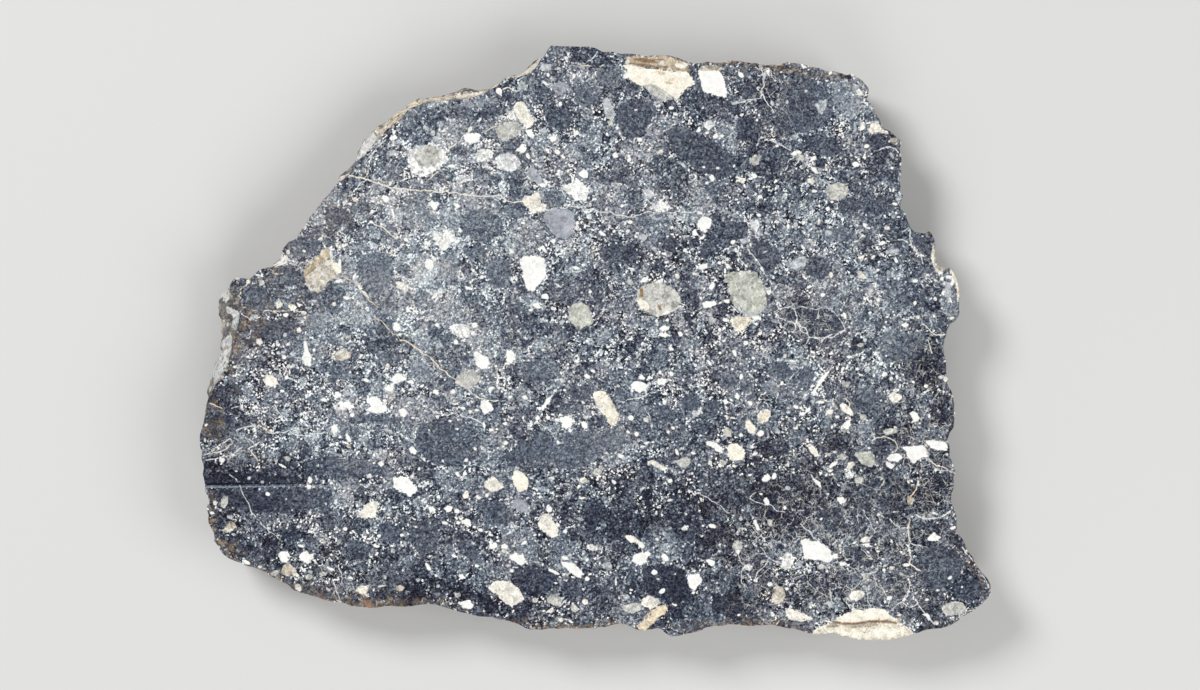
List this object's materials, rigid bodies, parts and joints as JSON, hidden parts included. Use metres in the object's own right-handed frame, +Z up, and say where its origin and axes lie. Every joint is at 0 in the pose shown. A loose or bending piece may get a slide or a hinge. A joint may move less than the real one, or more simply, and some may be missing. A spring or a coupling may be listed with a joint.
{
  "type": "lunar meteorite slice",
  "caption": "Sawn slab of a lunar breccia meteorite: dark grey matrix with white and cream clasts, flat sawn faces and natural weathered flank. Lies flat on its sawn back.",
  "frame": {"origin": "middle of the slab's bounding rectangle, on the surface that its sawn back rests on", "axes": "+Z up, out of the upper sawn face; +X along the slab's longest side, to the right in the picture; +Y to the top of the picture"},
  "size_m": [0.1028, 0.0774, 0.008],
  "materials": {
    "breccia": "sawn and fine-ground faces, dark blue-grey matrix with white, cream and grey clasts and pale veinlets; natural weathered flank with pale carbonate crust"
  },
  "bodies": {
    "root": {"meteorite_slice": "breccia"}
  },
  "joints": []
}
